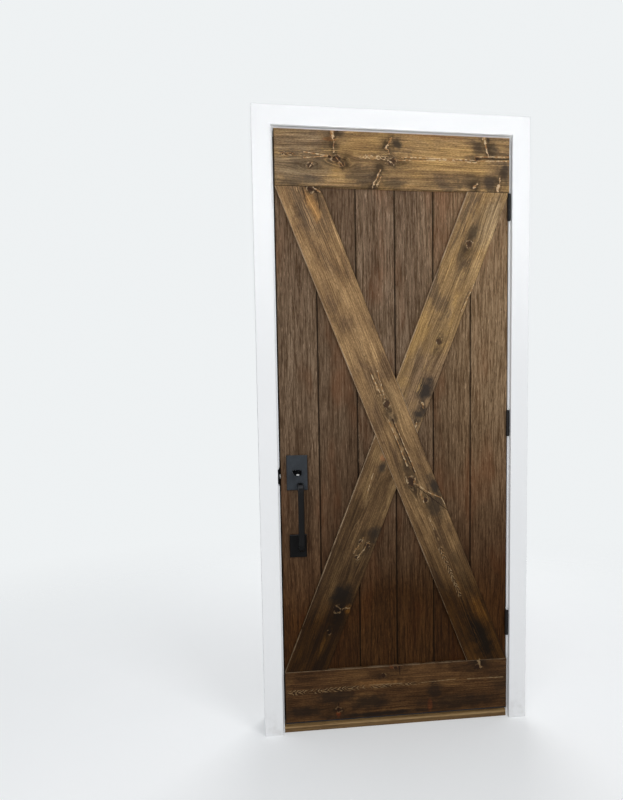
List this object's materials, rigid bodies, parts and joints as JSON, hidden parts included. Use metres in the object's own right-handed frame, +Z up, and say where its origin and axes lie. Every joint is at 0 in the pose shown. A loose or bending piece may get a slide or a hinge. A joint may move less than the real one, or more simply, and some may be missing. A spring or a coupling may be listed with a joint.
{
  "type": "hinged plank door with X brace, in its frame",
  "caption": "Hinged plank door with top and bottom boards, an X of braces and a black thumb-latch handle, in a white jamb with mitred casing and a wood threshold.",
  "frame": {"origin": "on the floor, under the middle of the threshold in width and depth", "axes": "+X to the right for someone in front of the door, +Y into the wall, away from the face with the boards, +Z up"},
  "size_m": [0.959, 0.1905, 2.1445],
  "materials": {
    "pine_boards": "stained knotty pine boards, satin",
    "plank_wood": "stained open-grained mahogany planks, satin",
    "threshold_wood": "stained hardwood, worn satin",
    "white_frame": "wood painted satin white",
    "black_hardware": "matte black powder coat",
    "steel_inner": "zinc-plated steel",
    "seal_rubber": "soft white foam-backed seal",
    "sweep": "grey vinyl sweep"
  },
  "bodies": {
    "frame": {"jamb_left": "white_frame", "jamb_right": "white_frame", "jamb_head": "white_frame", "weatherstrip_left": "seal_rubber", "weatherstrip_right": "seal_rubber", "weatherstrip_head": "seal_rubber", "casing_front_left": "white_frame", "casing_front_right": "white_frame", "casing_front_head": "white_frame", "casing_rear_left": "white_frame", "casing_rear_right": "white_frame", "casing_rear_head": "white_frame", "threshold": "threshold_wood", "strike_plate": "black_hardware", "strike_screws": "black_hardware", "hinge_jamb_leaf_top": "black_hardware", "hinge_jamb_leaf_middle": "black_hardware", "hinge_jamb_leaf_bottom": "black_hardware", "hinge_pin_top": "black_hardware", "hinge_pin_middle": "black_hardware", "hinge_pin_bottom": "black_hardware", "hinge_jamb_screws": "black_hardware"},
    "leaf": {"plank_1": "plank_wood", "plank_2": "plank_wood", "plank_3": "plank_wood", "plank_4": "plank_wood", "plank_5": "plank_wood", "plank_6": "plank_wood", "board_top": "pine_boards", "board_bottom": "pine_boards", "brace_long": "pine_boards", "brace_upper": "pine_boards", "brace_lower": "pine_boards", "door_sweep": "sweep", "hinge_door_leaf_top": "black_hardware", "hinge_door_leaf_middle": "black_hardware", "hinge_door_leaf_bottom": "black_hardware", "hinge_door_screws": "black_hardware", "latch_faceplate": "black_hardware", "faceplate_screws": "black_hardware", "latch_case": "steel_inner", "handle_plate": "black_hardware", "thumb_pin": "steel_inner", "handle_grip": "black_hardware", "handle_foot": "black_hardware", "foot_bolt": "black_hardware", "inside_rose": "black_hardware", "rose_screws": "steel_inner"},
    "inside_lever": {"inside_lever": "black_hardware", "spindle": "steel_inner", "latch_cam": "steel_inner", "lift_arm": "steel_inner"},
    "thumb_lever": {"thumb_lever": "black_hardware"},
    "latch_bolt": {"latch_bolt": "steel_inner"}
  },
  "joints": [
    {"name": "door_swing", "type": "hinge", "parent": "frame", "child": "leaf", "pos_m": [0.4085, -0.0645, 1.0884], "axis": [0, 0, 1], "range_deg": [0, 90]},
    {"name": "inside_lever_turn", "type": "hinge", "parent": "leaf", "child": "inside_lever", "pos_m": [-0.346, -0.0405, 0.916], "axis": [0, 1, 0], "range_deg": [0, 50], "stiffness_Nm_per_rad": 1, "springref_deg": -20.05},
    {"name": "thumb_press", "type": "hinge", "parent": "leaf", "child": "thumb_lever", "pos_m": [-0.35, -0.0635, 0.926], "axis": [1, 0, 0], "range_deg": [0, 26.6]},
    {"name": "bolt_slide", "type": "slide", "parent": "leaf", "child": "latch_bolt", "axis": [1, 0, 0], "range_m": [0, 0.01099]}
  ],
  "couplings": [
    {"joint": "thumb_press", "follows": "inside_lever_turn", "ratio": 0.53207},
    {"joint": "bolt_slide", "follows": "inside_lever_turn", "m_per_rad": 0.012591}
  ]
}
